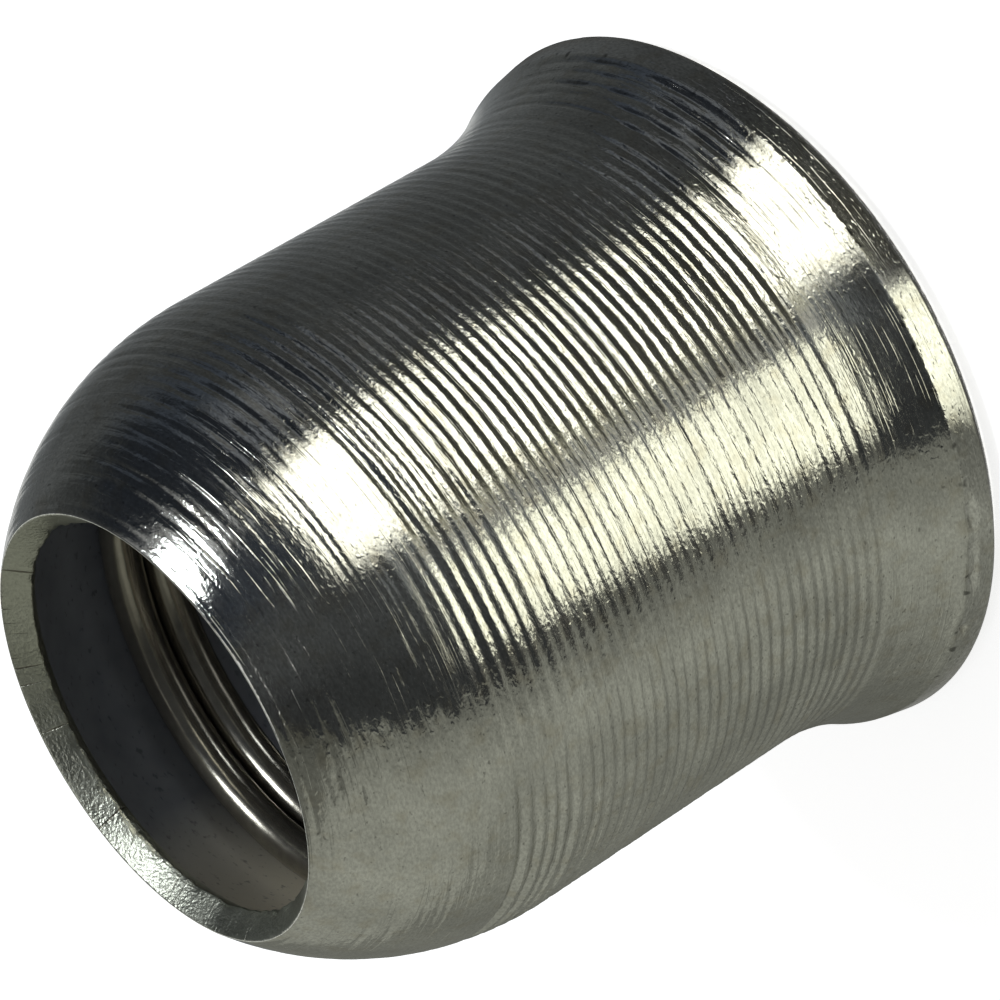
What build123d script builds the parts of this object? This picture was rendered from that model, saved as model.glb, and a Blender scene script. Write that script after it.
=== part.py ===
"""Drive-in ball-check grease nipple for an 8 mm hole.

The nipple stands on its flat head face. The face lies on z = 0, the axis is Z, and the rolled nose,
which goes into the machine first, points up. A ball closes the inlet in the head. A spring holds it
there, and the rolled nose keeps the spring in.
"""

import os
from math import asin, cos, pi, radians, sin, sqrt, tan

from build123d import *

# Sleeve, outside
shank_diameter = 8.0
shank_length = 3.8
nose_length = 2.96
nose_rim_diameter = 5.38
flare_length = 1.7
flare_rise = 0.46
land_width = 0.34
land_rise = 0.07
collar_chamfer = 0.2

# Sleeve, inside
shank_wall = 0.75
nose_wall = 0.38
inlet_diameter = 3.8
lead_in_diameter = 5.2
lead_in_depth = 0.45
seat_half_angle = 45.0

# Ball and spring
ball_side_clearance = 0.25
ball_seat_clearance = 0.02
ball_recess = 0.25
wire_diameter = 0.48
spring_side_clearance = 0.05
spring_seat_clearance = 0.02
closed_coil_gap = 0.02
mean_coil_gap = 0.28
foot_closed_share = 0.2
head_closed_share = 0.4
arcs_per_turn = 3
foot_angle = 45.0

# Outside of the sleeve, from the head face up
shank_radius = shank_diameter / 2
edge_radius = shank_radius + flare_rise
collar_radius = edge_radius + land_rise
edge_z = collar_chamfer + land_width
shank_z = edge_z + flare_length
nose_z = shank_z + shank_length
overall_length = nose_z + nose_length
rim_radius = nose_rim_diameter / 2

# The flare and the nose are arcs, each tangent to the shank
flare_radius = (flare_length**2 + flare_rise**2) / (2 * flare_rise)
flare_turn = asin(flare_length / flare_radius)
nose_drop = shank_radius - rim_radius
nose_radius = (nose_length**2 + nose_drop**2) / (2 * nose_drop)
nose_turn = asin(nose_length / nose_radius)

# The rim is the end of the wall, square to it, and the inner side of the nose is parallel to the
# outer side there
bore_radius = shank_radius - shank_wall
mouth_radius = rim_radius - nose_wall * cos(nose_turn)
mouth_z = overall_length - nose_wall * sin(nose_turn)
inner_nose_radius = (bore_radius - mouth_radius) / (1 - cos(nose_turn))
inner_nose_z = mouth_z - inner_nose_radius * sin(nose_turn)

# The ball rests in a conical seat, just inside the head face
ball_radius = bore_radius - ball_side_clearance
ball_z = ball_recess + ball_radius
seat_angle = radians(seat_half_angle)
seat_apex_z = ball_z - (ball_radius + ball_seat_clearance) / sin(seat_angle)
inlet_radius = inlet_diameter / 2
seat_z = seat_apex_z + inlet_radius / tan(seat_angle)
seat_top_z = seat_apex_z + bore_radius / tan(seat_angle)

# The spring reaches from the ball's shoulder to the inner side of the nose
wire_radius = wire_diameter / 2
coil_radius = bore_radius - spring_side_clearance - wire_radius
ball_reach = ball_radius + wire_radius + spring_seat_clearance
spring_foot_z = ball_z + sqrt(ball_reach**2 - coil_radius**2)
nose_reach = inner_nose_radius - wire_radius - spring_seat_clearance
coil_offset = coil_radius - (bore_radius - inner_nose_radius)
spring_head_z = inner_nose_z + sqrt(nose_reach**2 - coil_offset**2)
spring_height = spring_head_z - spring_foot_z
arc_count = round(arcs_per_turn * spring_height / (wire_diameter + mean_coil_gap))
turns = arc_count / arcs_per_turn
foot_closed_turns = foot_closed_share * turns
open_turns = turns * (1 - foot_closed_share - head_closed_share)
closed_pitch = wire_diameter + closed_coil_gap


def spring_point(turn):
    """A point on the wire's centre line. The coils are closed at both ends and open between."""
    share = min(max((turn - foot_closed_turns) / open_turns, 0), 1)
    opened = share - sin(2 * pi * share) / (2 * pi)
    z = spring_foot_z + closed_pitch * turn + (spring_height - closed_pitch * turns) * opened
    angle = radians(foot_angle) + 2 * pi * turn
    return (coil_radius * cos(angle), coil_radius * sin(angle), z)


# Sleeve: one turned shell, with its nose rolled in over the spring
with BuildPart() as sleeve:
    with BuildSketch(Plane.XZ):
        with BuildLine():
            Polyline(
                (lead_in_diameter / 2, 0),
                (collar_radius - collar_chamfer, 0),
                (collar_radius, collar_chamfer),
                (edge_radius, edge_z),
            )
            ThreePointArc(
                (edge_radius, edge_z),
                (
                    shank_radius + flare_radius * (1 - cos(flare_turn / 2)),
                    shank_z - flare_radius * sin(flare_turn / 2),
                ),
                (shank_radius, shank_z),
            )
            Line((shank_radius, shank_z), (shank_radius, nose_z))
            ThreePointArc(
                (shank_radius, nose_z),
                (
                    shank_radius - nose_radius * (1 - cos(nose_turn / 2)),
                    nose_z + nose_radius * sin(nose_turn / 2),
                ),
                (rim_radius, overall_length),
            )
            Line((rim_radius, overall_length), (mouth_radius, mouth_z))
            ThreePointArc(
                (mouth_radius, mouth_z),
                (
                    bore_radius - inner_nose_radius * (1 - cos(nose_turn / 2)),
                    inner_nose_z + inner_nose_radius * sin(nose_turn / 2),
                ),
                (bore_radius, inner_nose_z),
            )
            Polyline(
                (bore_radius, inner_nose_z),
                (bore_radius, seat_top_z),
                (inlet_radius, seat_z),
                (inlet_radius, lead_in_depth),
                (lead_in_diameter / 2, 0),
            )
        make_face()
    revolve(axis=Axis.Z)

# Check ball, seated in the inlet
with BuildPart() as check_ball:
    with Locations((0, 0, ball_z)):
        Sphere(ball_radius)

# Spring: round wire, each third of a turn an arc through three points of the coil
coil_points = [spring_point(half_arc / (2 * arcs_per_turn)) for half_arc in range(2 * arc_count + 1)]
with BuildPart() as spring:
    with BuildLine() as wire_line:
        for start in range(0, 2 * arc_count, 2):
            ThreePointArc(*coil_points[start : start + 3])
    with BuildSketch(Plane(origin=wire_line.line @ 0, z_dir=wire_line.line % 0)):
        Circle(wire_radius)
    sweep(path=wire_line.line)

os.makedirs("parts", exist_ok=True)
sleeve.part.label = "sleeve"
export_step(sleeve.part, "parts/sleeve.step")
check_ball.part.label = "check_ball"
export_step(check_ball.part, "parts/check_ball.step")
spring.part.label = "spring"
export_step(spring.part, "parts/spring.step")
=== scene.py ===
"""Looks of a drive-in grease nipple: turned sleeve with its tool marks, spring and check ball.

Lengths are in millimetres, times MM where Blender takes them. The scales of noise textures are per
metre and their bump depths in millimetres. The nipple stands on its head, nose up.
"""

from math import asin, atan2, ceil, cos, pi, radians, sin, sqrt, tan

import bpy
import numpy as np
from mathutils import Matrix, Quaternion, Vector


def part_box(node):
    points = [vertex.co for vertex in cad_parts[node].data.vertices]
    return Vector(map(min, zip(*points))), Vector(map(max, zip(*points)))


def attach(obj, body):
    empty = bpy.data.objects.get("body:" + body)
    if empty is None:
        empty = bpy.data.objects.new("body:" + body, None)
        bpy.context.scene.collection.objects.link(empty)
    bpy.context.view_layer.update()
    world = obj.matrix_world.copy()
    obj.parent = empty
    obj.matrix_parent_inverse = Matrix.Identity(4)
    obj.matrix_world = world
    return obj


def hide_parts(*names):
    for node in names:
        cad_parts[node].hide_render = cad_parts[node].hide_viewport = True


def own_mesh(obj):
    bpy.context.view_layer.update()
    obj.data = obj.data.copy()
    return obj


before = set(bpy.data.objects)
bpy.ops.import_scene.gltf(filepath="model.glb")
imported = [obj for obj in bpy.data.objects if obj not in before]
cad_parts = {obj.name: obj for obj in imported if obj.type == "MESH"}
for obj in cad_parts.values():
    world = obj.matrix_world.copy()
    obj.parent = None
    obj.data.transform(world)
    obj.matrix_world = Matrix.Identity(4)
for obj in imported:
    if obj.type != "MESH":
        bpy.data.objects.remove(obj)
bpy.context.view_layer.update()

MM = 0.001

# Sleeve, read from the frame where it is an outer size
sleeve_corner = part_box("sleeve")[1]
OVERALL_LENGTH = sleeve_corner[2] / MM
COLLAR_RADIUS = sleeve_corner[1] / MM
COLLAR_CHAMFER = 0.2
EDGE_RADIUS = 4.46
EDGE_Z = 0.54
SHANK_RADIUS = 4.0
SHANK_Z = 2.24
NOSE_Z = 6.04
RIM_RADIUS = 2.69
NOSE_WALL = 0.38
BORE_RADIUS = 3.25
SEAT_TOP_Z = 2.229
SEAT_Z = 0.879
INLET_RADIUS = 1.9
LEAD_IN_RADIUS = 2.6
LEAD_IN_DEPTH = 0.45
SOFT_EDGE = 0.03
SHARP_TURN = radians(14)

# Spring
WIRE_DIAMETER = 0.48
SPRING_TURNS = 10 / 3
FOOT_CLOSED_TURNS = 0.2 * SPRING_TURNS
OPEN_TURNS = 0.4 * SPRING_TURNS
CLOSED_PITCH = 0.5
FOOT_ANGLE = radians(45)

# Mesh density
SEGMENTS = 198
RING_STEP = 0.0225
FINE_STEP = 0.028
COARSE_STEP = 0.2
WIRE_SIDES = 20
STEPS_PER_TURN = 48
BALL_RINGS = 48
BALL_COLUMNS = 64

# Tool marks: the rings, and the heights of the single light cuts on the flare and the dome
RING_PITCH = 0.166
RING_DEPTH = 0.021
RING_LOW = 1.47
RING_HIGH = 6.9
FLARE_CUTS = (0.64, 0.78, 0.93, 1.09, 1.26)
DOME_CUTS = (7.08, 7.24, 7.41, 7.58, 7.76, 7.95, 8.13, 8.31, 8.49, 8.66)
DOME_END = 8.75
CUT_WIDTH = 0.032

# Each column of the sleeve's mesh: its angle, and the side that it faces, in degrees from the camera's
# side towards +X
ANGLES = np.linspace(0, 2 * pi, SEGMENTS, endpoint=False)
SIDE = np.linspace(90, 450, SEGMENTS, endpoint=False)
SIDE = (SIDE + 180) % 360 - 180

# Stretches round the sleeve, in the degrees of SIDE: from, to and how soft the ends are
UNEVEN_SIDE = (38, 180, 20)
SHALLOW_SIDE = (52, 130, 24)
FRONT_SIDE = (-60, -2, 14)
LOW_FRONT_SIDE = (-90, 2, 14)
DEEP_SIDE = (-130, -42, 14)
CUT_SIDE = (26, 78, 12)
CUT_FRONT = (-40, 2, 10)

# Knocks along the collar's edge: the side that each faces and its length, in degrees
NICKS = ((-38, 1.5), (-45, 1), (-50, 1.5), (-61, 1))

rng = np.random.default_rng(8)


# ---------------------------------------------------------------- helpers
def smooth_step(x):
    x = np.clip(x, 0, 1)
    return x * x * (3 - 2 * x)


def window(x, low, high, soft):
    """One between low and high, nought outside, with soft edges."""
    return smooth_step((x - low) / soft + 0.5) * smooth_step((high - x) / soft + 0.5)


def around(count, low, high):
    """Smooth random waves round the axis, one row each, between about -1 and 1."""
    waves = np.zeros((count, SEGMENTS))
    for frequency in range(low, high):
        phase = rng.uniform(0, 2 * pi, (count, 1))
        waves += rng.normal(0, 1, (count, 1)) * np.cos(frequency * ANGLES + phase)
    return waves / sqrt((high - low) / 2) / 2


def angle_from(middle):
    """How far each column of the sleeve's mesh is from an angle, in radians."""
    return (ANGLES - middle + pi) % (2 * pi) - pi


def link_object(name, data):
    made = bpy.data.objects.new(name, data)
    bpy.context.scene.collection.objects.link(made)
    return made


# ---------------------------------------------------------------- sleeve outline
def arc(centre, radius, start, end, step):
    """Points on an arc in the (r, z) plane, angles in radians from +r towards +z."""
    count = max(2, ceil(abs(end - start) * radius / step))
    angles = np.linspace(start, end, count + 1)
    return [(centre[0] + radius * cos(a), centre[1] + radius * sin(a)) for a in angles]


def line(start, end, step):
    length = sqrt((end[0] - start[0]) ** 2 + (end[1] - start[1]) ** 2)
    count = max(1, ceil(length / step))
    return [
        (start[0] + (end[0] - start[0]) * k / count, start[1] + (end[1] - start[1]) * k / count)
        for k in range(count + 1)
    ]


def same_place(first, second):
    return abs(first[0] - second[0]) + abs(first[1] - second[1]) <= 1e-6


def without_repeats(points):
    """A closed loop's points, each place once."""
    kept = [points[0]]
    for point in points[1:]:
        if not same_place(point, kept[-1]):
            kept.append(point)
    if same_place(kept[0], kept[-1]):
        kept.pop()
    return np.array(kept)


def soften(points, size):
    """Round each sharp corner of a closed loop over a short length."""
    count = len(points)
    corners = []
    for k in range(count):
        before = points[k] - points[k - 1]
        after = points[(k + 1) % count] - points[k]
        turn = abs(atan2(before[0] * after[1] - before[1] * after[0], before @ after))
        corners.append(turn > SHARP_TURN)
    softened = []
    for k in range(count):
        near = any(
            corners[m % count] and np.linalg.norm(points[m % count] - points[k]) < size
            for m in (k - 2, k - 1, k + 1, k + 2)
        )
        if near and not corners[k]:
            continue
        if not corners[k]:
            softened.append(points[k])
            continue
        before = points[k - 1] - points[k]
        after = points[(k + 1) % count] - points[k]
        start = points[k] + before / np.linalg.norm(before) * size
        end = points[k] + after / np.linalg.norm(after) * size
        for t in np.linspace(0, 1, 5):
            softened.append((1 - t) ** 2 * start + 2 * t * (1 - t) * points[k] + t**2 * end)
    return np.array(softened)


def outline():
    """The sleeve's section as a closed loop: up the outside, over the rim, down the inside.

    The arcs of the flare and the nose each have a point where the tool marks begin or end.
    """
    flare_length = SHANK_Z - EDGE_Z
    flare_rise = EDGE_RADIUS - SHANK_RADIUS
    flare_radius = (flare_length**2 + flare_rise**2) / (2 * flare_rise)
    flare_turn = asin(flare_length / flare_radius)
    ring_low_turn = asin((SHANK_Z - RING_LOW) / flare_radius)
    nose_length = OVERALL_LENGTH - NOSE_Z
    nose_drop = SHANK_RADIUS - RIM_RADIUS
    nose_radius = (nose_length**2 + nose_drop**2) / (2 * nose_drop)
    nose_turn = asin(nose_length / nose_radius)
    ring_high_turn = asin((RING_HIGH - NOSE_Z) / nose_radius)
    dome_turn = asin((DOME_END - NOSE_Z) / nose_radius)
    mouth_radius = RIM_RADIUS - NOSE_WALL * cos(nose_turn)
    mouth_z = OVERALL_LENGTH - NOSE_WALL * sin(nose_turn)
    inner_radius = (BORE_RADIUS - mouth_radius) / (1 - cos(nose_turn))
    inner_z = mouth_z - inner_radius * sin(nose_turn)
    flare_centre = (SHANK_RADIUS + flare_radius, SHANK_Z)
    nose_centre = (SHANK_RADIUS - nose_radius, NOSE_Z)
    inner_centre = (BORE_RADIUS - inner_radius, inner_z)
    chamfer_start = (COLLAR_RADIUS - COLLAR_CHAMFER, 0)

    points = line((LEAD_IN_RADIUS, 0), chamfer_start, COARSE_STEP)
    points += line(chamfer_start, (COLLAR_RADIUS, COLLAR_CHAMFER), 3 * FINE_STEP)
    points += line((COLLAR_RADIUS, COLLAR_CHAMFER), (EDGE_RADIUS, EDGE_Z), FINE_STEP)
    points += arc(flare_centre, flare_radius, pi + flare_turn, pi + ring_low_turn, RING_STEP)
    points += arc(flare_centre, flare_radius, pi + ring_low_turn, pi, RING_STEP)
    points += line((SHANK_RADIUS, SHANK_Z), (SHANK_RADIUS, NOSE_Z), RING_STEP)
    points += arc(nose_centre, nose_radius, 0, ring_high_turn, RING_STEP)
    points += arc(nose_centre, nose_radius, ring_high_turn, dome_turn, RING_STEP)
    points += arc(nose_centre, nose_radius, dome_turn, nose_turn, FINE_STEP)
    points += line((RIM_RADIUS, OVERALL_LENGTH), (mouth_radius, mouth_z), 3 * FINE_STEP)
    points += arc(inner_centre, inner_radius, nose_turn, 0, COARSE_STEP)
    points += line((BORE_RADIUS, inner_z), (BORE_RADIUS, SEAT_TOP_Z), 4 * COARSE_STEP)
    points += line((BORE_RADIUS, SEAT_TOP_Z), (INLET_RADIUS, SEAT_Z), COARSE_STEP)
    points += line((INLET_RADIUS, SEAT_Z), (INLET_RADIUS, LEAD_IN_DEPTH), COARSE_STEP)
    points += line((INLET_RADIUS, LEAD_IN_DEPTH), (LEAD_IN_RADIUS, 0), COARSE_STEP)
    return soften(without_repeats(points), SOFT_EDGE)


# ---------------------------------------------------------------- tool marks
# Each function gives heights over the outline, one row for each z and one column for each angle.
def ring_depths(edges):
    """How deep each ring is cut: one row for each ring."""
    starts = edges[:-1]
    widths = np.diff(edges)
    uneven = 0.16 + 0.2 * window(SIDE, *UNEVEN_SIDE)
    changes = 0.1 * rng.normal(0, 1, (len(widths), 1)) + uneven * around(len(widths), 2, 90)
    on_nose = smooth_step((starts - NOSE_Z) / 0.5)
    low_rings = 1 - smooth_step((starts - RING_LOW) / 0.9)
    high_rings = smooth_step((starts - 5.2) / 0.9)
    depth = RING_DEPTH * (1 + changes)
    depth *= (widths / RING_PITCH * (1 + 0.25 * on_nose))[:, None]
    depth *= 1 - 0.4 * low_rings[:, None] * window(SIDE, *LOW_FRONT_SIDE)
    depth *= 1 - 0.75 * window(SIDE, *SHALLOW_SIDE) - 0.22 * window(SIDE, *FRONT_SIDE)
    depth *= 1 + (0.25 + 0.6 * high_rings[:, None]) * window(SIDE, *DEEP_SIDE)
    return depth


def ring_marks(z):
    """The rings that the turning tool leaves: ridges with one flank to the nose and one to the head."""
    edges = [RING_LOW]
    while edges[-1] < RING_HIGH:
        off_middle = abs(edges[-1] - (RING_LOW + RING_HIGH) / 2) / (RING_HIGH - RING_LOW)
        edges.append(edges[-1] + RING_PITCH * (0.94 + 0.22 * off_middle + 0.07 * rng.normal()))
    edges = np.array(edges)
    count = len(edges) - 1
    wander = 0.07 * around(count, 1, 9) + 0.045 * around(count, 9, 40) + 0.05 * around(count, 40, 100)
    wander[[0, -1]] = 0
    depth = ring_depths(edges)
    index = np.clip(np.searchsorted(edges, z) - 1, 0, count - 1)
    share = ((z - edges[index]) / np.diff(edges)[index])[:, None] + wander[index]
    wave = 0.5 - 0.5 * np.cos(2 * pi * share)
    ridge = 1 - np.abs(2 * (share % 1) - 1)
    inside = (z > edges[0]) & (z < edges[-1])
    return -depth[index] * (0.5 * wave + 0.5 * ridge) * inside[:, None]


def fine_marks(z, low, high, count, depth, reaches=(0.4, 3.5)):
    """Fine scratches round the axis, each over part of a turn."""
    total = np.zeros((len(z), SEGMENTS))
    for _ in range(count):
        centre = rng.uniform(low, high)
        width = rng.uniform(0.012, 0.03)
        middle = rng.uniform(0, 2 * pi)
        reach = rng.uniform(*reaches)
        across = np.exp(-(((z - centre) / width) ** 2))
        along = smooth_step((reach - np.abs(angle_from(middle))) / min(0.3, reach) + 0.5)
        total -= depth * rng.uniform(0.3, 1) * across[:, None] * along[None, :]
    return total


def faint_rings(z):
    """Single light cuts on the flare and the dome, deepest on one side, which break off and go on."""
    side = window(SIDE, *CUT_SIDE) + 0.08
    flare_depth = 0.019 * side
    dome_depth = 0.0125 * side + 0.0095 * window(SIDE, *CUT_FRONT)
    centres = FLARE_CUTS + DOME_CUTS
    total = np.zeros((len(z), SEGMENTS))
    for centre, wave in zip(centres, around(len(centres), 1, 60)):
        across = np.exp(-(((z[:, None] - centre - 0.012 * wave[None, :]) / CUT_WIDTH) ** 2))
        depth = dome_depth if centre > NOSE_Z else flare_depth
        total -= across * (depth * np.clip(0.6 + 0.8 * wave, 0.05, 1.3))[None, :]
    return total


def dents(z, low, high, count, depth):
    """Small knocks: shallow round pits."""
    total = np.zeros((len(z), SEGMENTS))
    for _ in range(count):
        centre = rng.uniform(low, high)
        middle = rng.uniform(0, 2 * pi)
        size = rng.uniform(0.03, 0.07)
        off = angle_from(middle) * SHANK_RADIUS
        pit = np.exp(-(((z - centre) / size) ** 2)[:, None] - ((off / size) ** 2)[None, :])
        total -= depth * rng.uniform(0.4, 1) * pit
    return total


def nick(z, centre, side, length):
    """One short knock along the edge, as long as the given number of degrees."""
    along = np.exp(-(((SIDE - side) / length) ** 2))
    across = np.exp(-(((z - centre) / 0.06) ** 2))
    return -0.06 * across[:, None] * along[None, :]


def outside_marks(z):
    """All marks on the sleeve's outside."""
    marks = ring_marks(z)
    marks += fine_marks(z, RING_HIGH + 0.1, OVERALL_LENGTH, 60, 0.0035)
    marks += fine_marks(z, EDGE_Z + 0.05, RING_LOW - 0.1, 16, 0.0018)
    marks += fine_marks(z, EDGE_Z + 0.1, RING_HIGH, 60, 0.012, (0.02, 0.12))
    marks += fine_marks(z, RING_HIGH - 0.12, RING_HIGH - 0.04, 6, 0.012, (0.2, 0.5))
    marks += dents(z, 0.15, EDGE_Z, 60, 0.008)
    for side, length in NICKS:
        marks += nick(z, EDGE_Z - 0.05, side, length)
    marks += faint_rings(z)
    marks += 0.0015 * around(1, 2, 7)
    return np.minimum(marks, 0)


def mouth_wear(r, z):
    """The mouth's inner edge, worn and chipped unevenly."""
    mouth = np.argmin(np.where(z > OVERALL_LENGTH - NOSE_WALL, r, COLLAR_RADIUS))
    near_edge = np.exp(-((r - r[mouth]) ** 2 + (z - z[mouth]) ** 2) / 0.05**2)
    return -0.035 * near_edge[:, None] * np.clip(around(1, 6, 80) + 0.1, 0, 1.5)


# ---------------------------------------------------------------- meshes
def mesh_object(name, points, faces, body, material):
    mesh = bpy.data.meshes.new(name)
    mesh.from_pydata([tuple(p) for p in points], [], faces)
    mesh.polygons.foreach_set("use_smooth", [True] * len(mesh.polygons))
    mesh.materials.append(material)
    made = link_object(name, mesh)
    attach(made, body)
    return made


def grid_faces(rows, columns, closed_rows, closed_columns=True):
    faces = []
    for i in range(rows if closed_rows else rows - 1):
        for j in range(columns if closed_columns else columns - 1):
            a = i * columns + j
            b = i * columns + (j + 1) % columns
            c = ((i + 1) % rows) * columns + (j + 1) % columns
            d = ((i + 1) % rows) * columns + j
            faces.append((a, b, c, d))
    return faces


def sleeve_finishes(r, z, outside):
    """The material of each row of faces: 0 for the skin, 1 the land, 2 the rim and 3 the bore."""
    middle_r = (r + np.roll(r, -1)) / 2
    middle_z = (z + np.roll(z, -1)) / 2
    last_skin = int(np.flatnonzero(outside)[-1])
    rim = (np.arange(len(r)) > last_skin) & (middle_z > OVERALL_LENGTH - 1.1 * NOSE_WALL)
    rim &= middle_r > RIM_RADIUS - 0.7 * NOSE_WALL
    finish = np.zeros(len(r), dtype=int)
    finish[middle_z < EDGE_Z] = 1
    finish[last_skin + 1 :] = 3
    finish[rim] = 2
    return finish


def make_sleeve(skin, land, rim, bore):
    section = outline()
    ahead = np.roll(section, -1, axis=0) - np.roll(section, 1, axis=0)
    normal = np.stack([ahead[:, 1], -ahead[:, 0]], axis=1)
    normal /= np.linalg.norm(normal, axis=1)[:, None]
    r, z = section[:, 0], section[:, 1]
    outside = (normal[:, 0] > 0.3) & (r > RIM_RADIUS)
    marks = outside_marks(z) * outside[:, None] + mouth_wear(r, z)
    radius = r[:, None] + normal[:, :1] * marks
    height = z[:, None] + normal[:, 1:] * marks
    places = np.stack([radius * np.cos(ANGLES), radius * np.sin(ANGLES), height], axis=2)
    points = places.reshape(-1, 3) * MM
    faces = grid_faces(len(r), SEGMENTS, True)
    sleeve = mesh_object("sleeve_turned", points, faces, "body", skin)
    for material in (land, rim, bore):
        sleeve.data.materials.append(material)
    finish = sleeve_finishes(r, z, outside)
    sleeve.data.polygons.foreach_set("material_index", np.repeat(finish, SEGMENTS))
    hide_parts("sleeve")


def make_spring(material):
    low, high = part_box("spring")
    wire_radius = WIRE_DIAMETER / 2
    coil_radius = high[0] / MM - wire_radius
    foot_z = low[2] / MM + wire_radius
    head_z = high[2] / MM - wire_radius
    rise = head_z - foot_z - CLOSED_PITCH * SPRING_TURNS
    steps = ceil(SPRING_TURNS * STEPS_PER_TURN)
    turn = np.linspace(0, SPRING_TURNS, steps + 1)
    share = np.clip((turn - FOOT_CLOSED_TURNS) / OPEN_TURNS, 0, 1)
    heights = foot_z + CLOSED_PITCH * turn + rise * (share - np.sin(2 * pi * share) / (2 * pi))
    around_wire = np.linspace(0, 2 * pi, WIRE_SIDES, endpoint=False)
    points = []
    for angle, height in zip(FOOT_ANGLE + 2 * pi * turn, heights):
        for w in around_wire:
            r = coil_radius + wire_radius * cos(w)
            z = height + wire_radius * sin(w)
            points.append((r * cos(angle) * MM, r * sin(angle) * MM, z * MM))
    faces = grid_faces(steps + 1, WIRE_SIDES, False)
    faces.append(tuple(range(WIRE_SIDES))[::-1])
    faces.append(tuple(range(steps * WIRE_SIDES, (steps + 1) * WIRE_SIDES)))
    spring = mesh_object("spring_wire", points, faces, "body", material)
    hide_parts("spring")
    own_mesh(spring)


def make_ball(material):
    low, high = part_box("check_ball")
    centre = (Vector(low) + Vector(high)) / 2
    radius = (high[2] - low[2]) / 2
    points = []
    for i in range(1, BALL_RINGS):
        tilt = pi * i / BALL_RINGS
        for j in range(BALL_COLUMNS):
            a = 2 * pi * j / BALL_COLUMNS
            points.append(centre + radius * Vector((sin(tilt) * cos(a), sin(tilt) * sin(a), -cos(tilt))))
    foot = len(points)
    top = foot + 1
    points.append(centre - Vector((0, 0, radius)))
    points.append(centre + Vector((0, 0, radius)))
    faces = grid_faces(BALL_RINGS - 1, BALL_COLUMNS, False)
    last = (BALL_RINGS - 2) * BALL_COLUMNS
    for j in range(BALL_COLUMNS):
        following = (j + 1) % BALL_COLUMNS
        faces.append((foot, following, j))
        faces.append((top, last + j, last + following))
    ball = mesh_object("ball_polished", points, faces, "ball", material)
    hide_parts("check_ball")


# ---------------------------------------------------------------- shader nodes
# place is the object's own coordinates, in metres.
def add_math(tree, operation, *values):
    """One step of arithmetic on values, each a number or a node's output."""
    node = tree.nodes.new("ShaderNodeMath")
    node.operation = operation
    for socket, value in zip(node.inputs, values):
        if isinstance(value, (int, float)):
            socket.default_value = value
        else:
            tree.links.new(value, socket)
    return node.outputs[0]


def add_sum(tree, parts):
    """The sum of several values, each times its own weight."""
    total = 0
    for value, weight in parts:
        total = add_math(tree, "MULTIPLY_ADD", value, weight, total)
    return total


def add_range(tree, value, low, high, to_low, to_high):
    spread = tree.nodes.new("ShaderNodeMapRange")
    spread.inputs["From Min"].default_value = low
    spread.inputs["From Max"].default_value = high
    spread.inputs["To Min"].default_value = to_low
    spread.inputs["To Max"].default_value = to_high
    tree.links.new(value, spread.inputs["Value"])
    return spread.outputs["Result"]


def add_noise(tree, coordinates, scale, detail=3.0):
    """A noise texture, with one scale or its own along X, Y and Z."""
    noise = tree.nodes.new("ShaderNodeTexNoise")
    noise.inputs["Detail"].default_value = detail
    if isinstance(scale, tuple):
        mapping = tree.nodes.new("ShaderNodeMapping")
        mapping.inputs["Scale"].default_value = scale
        tree.links.new(coordinates, mapping.inputs["Vector"])
        coordinates = mapping.outputs["Vector"]
        scale = 1.0
    noise.inputs["Scale"].default_value = scale
    tree.links.new(coordinates, noise.inputs["Vector"])
    return noise.outputs["Fac"]


def add_split(tree, place):
    parts = tree.nodes.new("ShaderNodeSeparateXYZ")
    tree.links.new(place, parts.inputs[0])
    return parts.outputs


def add_polar(tree, place):
    """Coordinates round the axis: the angle in radians, the radius and the height."""
    x, y, z = add_split(tree, place)
    squares = add_math(tree, "MULTIPLY_ADD", x, x, add_math(tree, "MULTIPLY", y, y))
    polar = tree.nodes.new("ShaderNodeCombineXYZ")
    tree.links.new(add_math(tree, "ARCTAN2", y, x), polar.inputs["X"])
    tree.links.new(add_math(tree, "SQRT", squares), polar.inputs["Y"])
    tree.links.new(z, polar.inputs["Z"])
    return polar.outputs[0]


def add_height_mask(tree, place, low, high, soft, outside):
    """One between two heights in millimetres, and a lower value outside them."""
    z = add_split(tree, place)["Z"]
    above = add_range(tree, z, (low - soft) * MM, low * MM, outside, 1)
    below = add_range(tree, z, high * MM, (high + soft) * MM, 1, outside)
    return add_math(tree, "MULTIPLY", above, below)


def add_mix(tree, factor, first, second):
    mix = tree.nodes.new("ShaderNodeMix")
    mix.data_type = "RGBA"
    for socket, colour in (("A", first), ("B", second)):
        if isinstance(colour, tuple):
            mix.inputs[socket].default_value = (*colour, 1)
        else:
            tree.links.new(colour, mix.inputs[socket])
    tree.links.new(factor, mix.inputs["Factor"])
    return mix.outputs["Result"]


def add_tint(tree, tint, value, low, high, most, colour):
    """A tint with some of a colour mixed in as a value goes from low to high."""
    return add_mix(tree, add_range(tree, value, low, high, 0, most), tint, colour)


def add_relief(tree, shader, parts):
    """One bump from several values, each with its depth in millimetres."""
    relief = tree.nodes.new("ShaderNodeBump")
    relief.inputs["Distance"].default_value = MM
    tree.links.new(add_sum(tree, parts), relief.inputs["Height"])
    tree.links.new(relief.outputs["Normal"], shader.inputs["Normal"])


def add_seen(tree):
    """One for rays that the camera sees directly, in a reflection or through glass, else nought."""
    path = tree.nodes.new("ShaderNodeLightPath").outputs
    reflected = add_math(tree, "MAXIMUM", path["Is Camera Ray"], path["Is Glossy Ray"])
    return add_math(tree, "MAXIMUM", reflected, path["Is Transmission Ray"])


# ---------------------------------------------------------------- materials
def new_material(name):
    material = bpy.data.materials.new(name)
    material.use_nodes = True
    return material, material.node_tree


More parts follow.
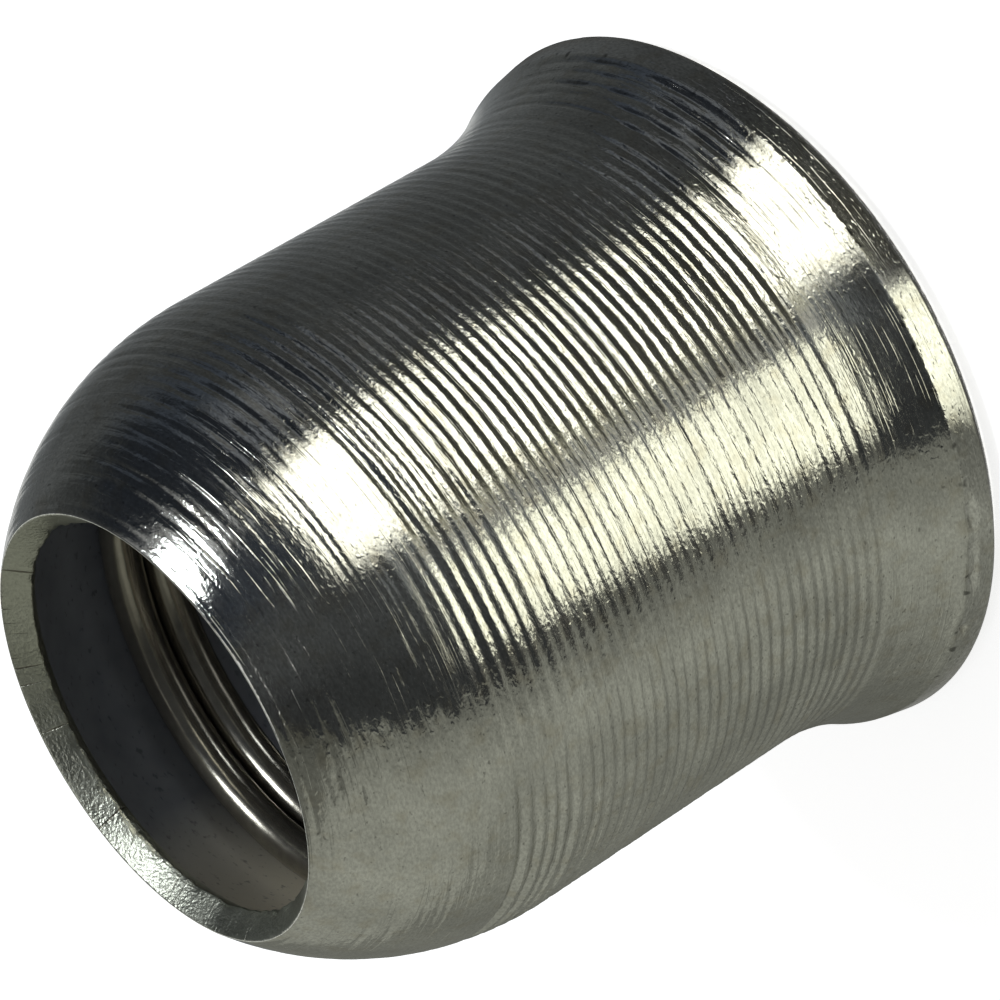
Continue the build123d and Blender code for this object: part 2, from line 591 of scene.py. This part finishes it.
def steel_shader(name, metallic=1.0):
    material, tree = new_material(name)
    shader = tree.nodes["Principled BSDF"]
    shader.inputs["Metallic"].default_value = metallic
    place = tree.nodes.new("ShaderNodeTexCoord").outputs["Object"]
    return material, tree, shader, place


def times(factor, colour):
    return tuple(factor * c for c in colour)


def turned_tint(tree, place, light, fleck):
    """Plated steel's colour: blotches, fine dark flecks, brownish stains, pits and knocks on the edge."""
    blotches = add_noise(tree, place, 1200)
    speckle = add_noise(tree, place, (18000, 18000, 40000), 2.0)
    stains = add_noise(tree, place, 4200, 2.0)
    pits = add_noise(tree, place, (14000, 14000, 26000), 1.0)
    knocks = add_noise(tree, add_polar(tree, place), (26, 0, 5000), 1.0)
    at_edge = add_height_mask(tree, place, EDGE_Z - 0.03, EDGE_Z + 0.03, 0.03, 0)
    knocked = add_math(tree, "MULTIPLY", add_range(tree, knocks, 0.6, 0.67, 0, 0.75), at_edge)
    tint = add_tint(tree, times(0.88, light), blotches, 0.35, 0.65, 1, times(1.1, light))
    tint = add_tint(tree, tint, speckle, 0.3, 0.7, fleck, times(0.2, light))
    tint = add_tint(tree, tint, stains, 0.52, 0.7, 0.28, (0.42, 0.37, 0.26))
    tint = add_tint(tree, tint, pits, 0.68, 0.78, 0.55, (0.12, 0.12, 0.11))
    return add_mix(tree, knocked, tint, (0.1, 0.1, 0.09))


def turned_steel(name, light, gloss, line_depth, grain_depth, grain_scale, fleck, spot_depth):
    """Bright plated steel, turned: fine lines round the axis, a fine grain, scratches and spots."""
    material, tree, shader, place = steel_shader(name)
    shader.inputs["Anisotropic"].default_value = 0.5
    shader.inputs["Anisotropic Rotation"].default_value = 0.25
    tangent = tree.nodes.new("ShaderNodeTangent")
    tangent.direction_type = "RADIAL"
    tangent.axis = "Z"
    tree.links.new(tangent.outputs["Tangent"], shader.inputs["Tangent"])
    tree.links.new(turned_tint(tree, place, light, fleck), shader.inputs["Base Color"])

    lines = add_noise(tree, place, (900, 900, 30000), 4.0)
    grain = add_noise(tree, place, grain_scale)
    sparkle = add_noise(tree, place, (10000, 10000, 30000), 1.0)
    spots = add_noise(tree, place, (11000, 11000, 17000), 1.0)
    scratches = add_noise(tree, place, (900, 900, 36000), 1.0)
    tree.links.new(add_range(tree, lines, 0.3, 0.7, *gloss), shader.inputs["Roughness"])
    rough = add_sum(tree, [(lines, line_depth), (grain, grain_depth), (sparkle, 0.8 * grain_depth)])
    ringed = add_height_mask(tree, place, RING_LOW + 0.25, RING_HIGH + 0.1, 0.25, 0.4)
    rough = add_math(tree, "MULTIPLY", rough, ringed)
    spotted = add_range(tree, spots, 0.58, 0.74, 0, 1)
    scratched = add_range(tree, scratches, 0.62, 0.72, 0, 1)
    add_relief(tree, shader, [(rough, 1.0), (scratched, 0.0016), (spotted, spot_depth)])
    return material


def rim_steel():
    """The sheared end of the wall: frosted, with nicks that run across it."""
    material, tree, shader, place = steel_shader("cut_edge")
    nicks = add_noise(tree, add_polar(tree, place), (42, 900, 900), 1.0)
    grain = add_noise(tree, place, (21000, 21000, 30000), 2.0)
    blotches = add_noise(tree, place, 2500)
    nicked = add_range(tree, nicks, 0.69, 0.75, 0, 1)
    tint = add_mix(tree, blotches, (0.4, 0.41, 0.34), (0.52, 0.53, 0.45))
    tint = add_tint(tree, tint, grain, 0.3, 0.7, 0.3, (0.15, 0.15, 0.13))
    tint = add_mix(tree, nicked, tint, (0.16, 0.15, 0.12))
    tree.links.new(tint, shader.inputs["Base Color"])
    tree.links.new(add_range(tree, blotches, 0.3, 0.7, 0.28, 0.42), shader.inputs["Roughness"])
    add_relief(tree, shader, [(nicked, -0.004), (grain, 0.0105)])
    return material


def bore_steel():
    """The dull inside of the wall, with painted light: a lighter brownish tint on the -X side."""
    material, tree, shader, place = steel_shader("bore_steel", metallic=0.35)
    noise = add_noise(tree, place, 2500, 4.0)
    grain = add_noise(tree, place, (9000, 9000, 14000), 2.0)
    # Painted light: the bore's -X side is tinted lighter and brownish, standing in for the soft light
    # that falls there.
    painted_light_side = add_range(tree, add_split(tree, place)["X"], -2.8 * MM, -0.9 * MM, 1, 0)
    tint = add_mix(tree, noise, (0.18, 0.195, 0.225), (0.31, 0.33, 0.365))
    tint = add_mix(tree, painted_light_side, tint, (0.85, 0.79, 0.63))
    tint = add_tint(tree, tint, grain, 0.62, 0.72, 0.5, (0.06, 0.06, 0.06))
    tree.links.new(tint, shader.inputs["Base Color"])
    tree.links.new(add_range(tree, noise, 0, 1, 0.4, 0.5), shader.inputs["Roughness"])
    return material


def plain_steel(name, colour, gloss, scale, metallic=1.0, depth=0.0):
    """Drawn or polished steel: slight changes of gloss and tone over the surface."""
    material, tree, shader, place = steel_shader(name, metallic)
    noise = add_noise(tree, place, scale, 4.0)
    tint = add_mix(tree, noise, times(0.75, colour), times(1.25, colour))
    tree.links.new(tint, shader.inputs["Base Color"])
    tree.links.new(add_range(tree, noise, 0, 1, *gloss), shader.inputs["Roughness"])
    if depth:
        add_relief(tree, shader, [(noise, depth)])
    return material


def floor_material():
    """White to the camera and in reflections, and it still takes the nipple's shadow."""
    material, tree = new_material("floor")
    shader = tree.nodes["Principled BSDF"]
    shader.inputs["Base Color"].default_value = (0.85, 0.85, 0.85, 1)
    shader.inputs["Roughness"].default_value = 0.9
    shader.inputs["Emission Color"].default_value = (1, 1, 1, 1)
    glow = add_range(tree, add_seen(tree), 0, 1, 0, 0.72)
    tree.links.new(glow, shader.inputs["Emission Strength"])
    return material


def tent_material():
    """Cloth that sends out the light painted on its points."""
    material, tree = new_material("light_tent")
    tree.nodes.remove(tree.nodes["Principled BSDF"])
    glow = tree.nodes.new("ShaderNodeEmission")
    painted = tree.nodes.new("ShaderNodeVertexColor")
    painted.layer_name = "light"
    tree.links.new(painted.outputs["Color"], glow.inputs["Color"])
    tree.links.new(glow.outputs["Emission"], tree.nodes["Material Output"].inputs["Surface"])
    return material


# ---------------------------------------------------------------- light tent
# A round cloth with light and dark fields, a floor and a wall. Directions are in degrees from the
# camera's side towards +X, reaches in millimetres along the floor, and rises in degrees above the
# nipple's middle.
TENT_RADIUS = 120.0
TENT_FLOOR_Z = 0.01
TENT_MIDDLE_Z = 4.5
TENT_SEAM = -165
TENT_STEP = 2
FLOOR_REACHES = (4.35, 4.6, 4.9, 6, 7, 9, 12, 14, 16, 18, 20, 22, 25, 29, 33, 45, 70, 100, TENT_RADIUS)
WALL_RISES = (*range(-1, 36), *range(38, 76, 4))
UNDER_EDGE = 4.8

# Levels at some directions. The grey fields lie on the -X side of GREY_LIMIT, the dark ones on the other.
GREY_LIMIT = -45
GREY_FLOOR = {-165: 0.18, -110: 0.28, -70: 0.4, -50: 0.23}
GREY_WALL = {-165: 0.3, -110: 0.4, -70: 0.36, -50: 0.24, -40: 0.08}
DARK_FLOOR = {-40: 0.07, -34: 0.2, -4: 0.3, 3: 0.5, 10: 0.5, 14: 0.1, 60: 0.055, 100: 0.06}
DARK_FLOOR |= {130: 0.085, 150: 0.12, 165: 0.2}
DARK_WALL = {-45: 0.045, -28: 0.045, -8: 0.075, 10: 0.07, 60: 0.022, 112: 0.026}
DARK_WALL |= {130: 0.05, 150: 0.09, 165: 0.18}
LOW_WALL = {-10: 0, -3: 0.13, 9: 0.13, 16: 0.03, 60: 0.06, 100: 0.04, 150: 0.03}
GAP_SHADE = {-4: 0, 3: 1, 10: 1, 14: 0}
NEAR_CHANGE = {60: -0.3, 110: 0.15}
UNDER_EDGE_LEVELS = {-120: 0.26, -70: 0.26, -50: 0.1, 165: 0.07}

# The fill light: where it starts and its level at some reaches, the direction where it ends, and how
# soft its sides are
FILL_START = {8: -41, 20: -32}
FILL_LEVELS = {6: 0.88, 9: 1, 14: 1, 22: 0.82, 32: 0.5, 45: 0.08}
FILL_END = -3
FILL_SOFT = 6

# The other bright fields: the directions from and to
MAIN_FIELD = (12, 53)
HALO_FIELD = (46, 84, 20)
BACK_FIELD = (168, 192, 8)
LEFT_PANEL = (52, 86, 10)
FAR_PANEL = (86, 122, 10)

GREY_TONE = np.array([0.98, 1.0, 0.88])
WARM_TONE = np.array([1.0, 1.0, 0.94])
UNDER_EDGE_TONE = np.array([1.0, 1.0, 0.95])
COOLER = np.array([-0.06, 0, 0.1])
OLIVE = np.array([0.04, 0.02, -0.16])
BLUER = np.array([-0.14, -0.05, 0.2])
MAIN_LIGHT = 2.5 * np.array([1.0, 0.985, 0.86])
FILL_LIGHT = 1.6 * np.array([1.0, 1.0, 0.81])
BACK_LIGHT = 0.9 * np.array([1.0, 1.0, 0.97])
HALO_LIGHT = 0.1
LEFT_PANEL_LIGHT = 0.35
FAR_PANEL_LIGHT = 0.22


def level_at(place, levels):
    return np.interp(place, list(levels), list(levels.values()))


def seen_direction(direction, reach):
    """The direction in which the shank reflects a floor point.

    The shank shows its side at half the angle to which it reflects, so a near floor point lies
    between the two.
    """
    target = radians(direction)
    side = target / 2
    for _ in range(40):
        length = -SHANK_RADIUS * cos(side) + sqrt(max(reach**2 - (SHANK_RADIUS * sin(side)) ** 2, 0))
        got = side + atan2(length * sin(side), SHANK_RADIUS + length * cos(side))
        side += 0.5 * (target - got)
    return 2 * np.degrees(side)


def floor_light(direction, reach):
    """What the tent's floor sends back."""
    seen = seen_direction(direction, reach)
    if reach < UNDER_EDGE:
        return level_at(seen, UNDER_EDGE_LEVELS) * UNDER_EDGE_TONE
    near = 1 - smooth_step((reach - 5.5) / 4)
    far = smooth_step((reach - 20) / 20)
    if seen < GREY_LIMIT:
        light = level_at(seen, GREY_FLOOR) * (1 - 0.28 * near) * GREY_TONE
    else:
        level = level_at(seen, DARK_FLOOR) - 0.41 * near * level_at(seen, GAP_SHADE)
        level *= 1 - 0.2 * far + near * level_at(seen, NEAR_CHANGE)
        tone = WARM_TONE + smooth_step((seen - 20) / 35) * COOLER
        light = level * (tone + window(seen, 6, 60, 10) * (1 - 0.7 * near) * OLIVE)
    band = window(reach, 17, 999, 8)
    fill = window(seen, level_at(reach, FILL_START), FILL_END, FILL_SOFT) * level_at(reach, FILL_LEVELS)
    light = light + band * window(seen, *MAIN_FIELD, 9) * MAIN_LIGHT
    light = light + band * far * window(seen, *HALO_FIELD) * HALO_LIGHT
    light = light + fill * FILL_LIGHT
    return light + 0.5 * window(seen, *BACK_FIELD) * BACK_LIGHT


def wall_light(direction, rise):
    """What the tent's wall sends back."""
    low = 1 - smooth_step((rise - 5) / 10)
    if direction < GREY_LIMIT:
        light = level_at(direction, GREY_WALL) * (1 - 0.55 * smooth_step((rise - 40) / 8)) * GREY_TONE
    else:
        level = level_at(direction, DARK_WALL) + low * level_at(direction, LOW_WALL)
        light = level * (WARM_TONE + COOLER + window(direction, 25, 115, 30) * BLUER)
    band = window(rise, -4, 23.5, 7)
    fill = window(direction, FILL_START[20], FILL_END, FILL_SOFT) * 0.12 * window(rise, -90, 3, 3)
    light = light + band * window(direction, *MAIN_FIELD, 12) * MAIN_LIGHT
    light = light + band * low * window(direction, *HALO_FIELD) * HALO_LIGHT
    light = light + fill * FILL_LIGHT
    light = light + window(direction, *LEFT_PANEL) * window(rise, 38, 49, 4) * LEFT_PANEL_LIGHT
    light = light + window(direction, *FAR_PANEL) * window(rise, 43, 70, 5) * FAR_PANEL_LIGHT
    return light + window(direction, *BACK_FIELD) * window(rise, -90, 30, 4) * BACK_LIGHT


def make_tent():
    """The tent is seen only in the nipple's reflections."""
    section = [(reach, TENT_FLOOR_Z) for reach in FLOOR_REACHES]
    section += [(TENT_RADIUS, TENT_MIDDLE_Z + TENT_RADIUS * tan(radians(rise))) for rise in WALL_RISES]
    directions = range(TENT_SEAM, TENT_SEAM + 360, TENT_STEP)
    points = []
    lights = []
    for direction in directions:
        a = radians(direction)
        points += [(r * sin(a) * MM, -r * cos(a) * MM, z * MM) for r, z in section]
        colours = [floor_light(direction, reach) for reach in FLOOR_REACHES]
        colours += [wall_light(direction, rise) for rise in WALL_RISES]
        for colour in colours:
            lights += [*colour, 1]
    mesh = bpy.data.meshes.new("light_tent")
    mesh.from_pydata(points, [], grid_faces(len(directions), len(section), True, False))
    painted = mesh.color_attributes.new("light", "FLOAT_COLOR", "POINT")
    painted.data.foreach_set("color", lights)
    mesh.materials.append(tent_material())
    tent = link_object("light_tent", mesh)
    tent.visible_camera = False
    tent.visible_diffuse = False
    tent.visible_shadow = False
    tent.visible_transmission = False


# ---------------------------------------------------------------- studio
FLOOR_HALF = 500 * MM


def make_floor():
    mesh = bpy.data.meshes.new("floor")
    corners = [(x * FLOOR_HALF, y * FLOOR_HALF, 0) for x, y in ((-1, -1), (1, -1), (1, 1), (-1, 1))]
    mesh.from_pydata(corners, [], [(0, 1, 2, 3)])
    mesh.materials.append(floor_material())
    link_object("floor", mesh)


def make_world():
    """White to the camera and in reflections, and a plain soft light on the object."""
    world = bpy.data.worlds.new("studio")
    world.use_nodes = True
    tree = world.node_tree
    background = tree.nodes["Background"]
    background.inputs["Color"].default_value = (1, 1, 1, 1)
    tree.links.new(add_range(tree, add_seen(tree), 0, 1, 0.35, 1.0), background.inputs["Strength"])
    bpy.context.scene.world = world


def area_lamp(name, place, aim, size, power, colour):
    lamp = bpy.data.lights.new(name, "AREA")
    lamp.shape = "DISK"
    lamp.size = size * MM
    lamp.energy = power
    lamp.color = colour
    made = link_object(name, lamp)
    made.location = Vector(place) * MM
    made.rotation_mode = "QUATERNION"
    made.rotation_quaternion = (Vector(aim) * MM - made.location).to_track_quat("-Z", "Y")


def make_camera():
    """A long lens from 30 degrees above, turned so that the nose points to the lower left.

    nose_in_view is the middle of the rim in the camera's own axes.
    """
    elevation = radians(30)
    roll = radians(-121.33)
    nose_in_view = Vector((-3.887, -2.56, -55.008)) * MM
    data = bpy.data.cameras.new("camera")
    data.lens = 178.3
    data.clip_start = 5 * MM
    data.clip_end = 1.0
    camera = link_object("camera", data)
    back = Vector((0, -cos(elevation), sin(elevation)))
    turn = (-back).to_track_quat("-Z", "Y") @ Quaternion((0, 0, 1), roll)
    camera.rotation_mode = "QUATERNION"
    camera.rotation_quaternion = turn
    camera.location = Vector((0, 0, OVERALL_LENGTH * MM)) - turn @ nose_in_view
    bpy.context.scene.camera = camera


# ---------------------------------------------------------------- the whole scene
bpy.context.scene.view_settings.view_transform = "Standard"
plated_skin = turned_steel(
    "plated_steel", light=(0.68, 0.68, 0.63), gloss=(0.07, 0.15), line_depth=0.0024,
    grain_depth=0.0042, grain_scale=(12000, 12000, 28000), fleck=0.34, spot_depth=0.0012,
)
worn_land = turned_steel(
    "worn_land", light=(0.82, 0.82, 0.77), gloss=(0.06, 0.14), line_depth=0.0009,
    grain_depth=0.004, grain_scale=(14000, 14000, 22000), fleck=0.45, spot_depth=0.0022,
)
spring_steel = plain_steel("spring_steel", (0.33, 0.31, 0.26), (0.16, 0.24), 9000, 0.9, 0.0015)
ball_steel = plain_steel("ball_steel", (0.6, 0.6, 0.6), (0.05, 0.12), 1500)
make_sleeve(plated_skin, worn_land, rim_steel(), bore_steel())
make_spring(spring_steel)
make_ball(ball_steel)
make_floor()
make_world()
make_tent()
area_lamp("key_lamp", (72, -18, 114), (0, 0, 8), size=46, power=0.065, colour=(0.9, 0.95, 1))
make_camera()
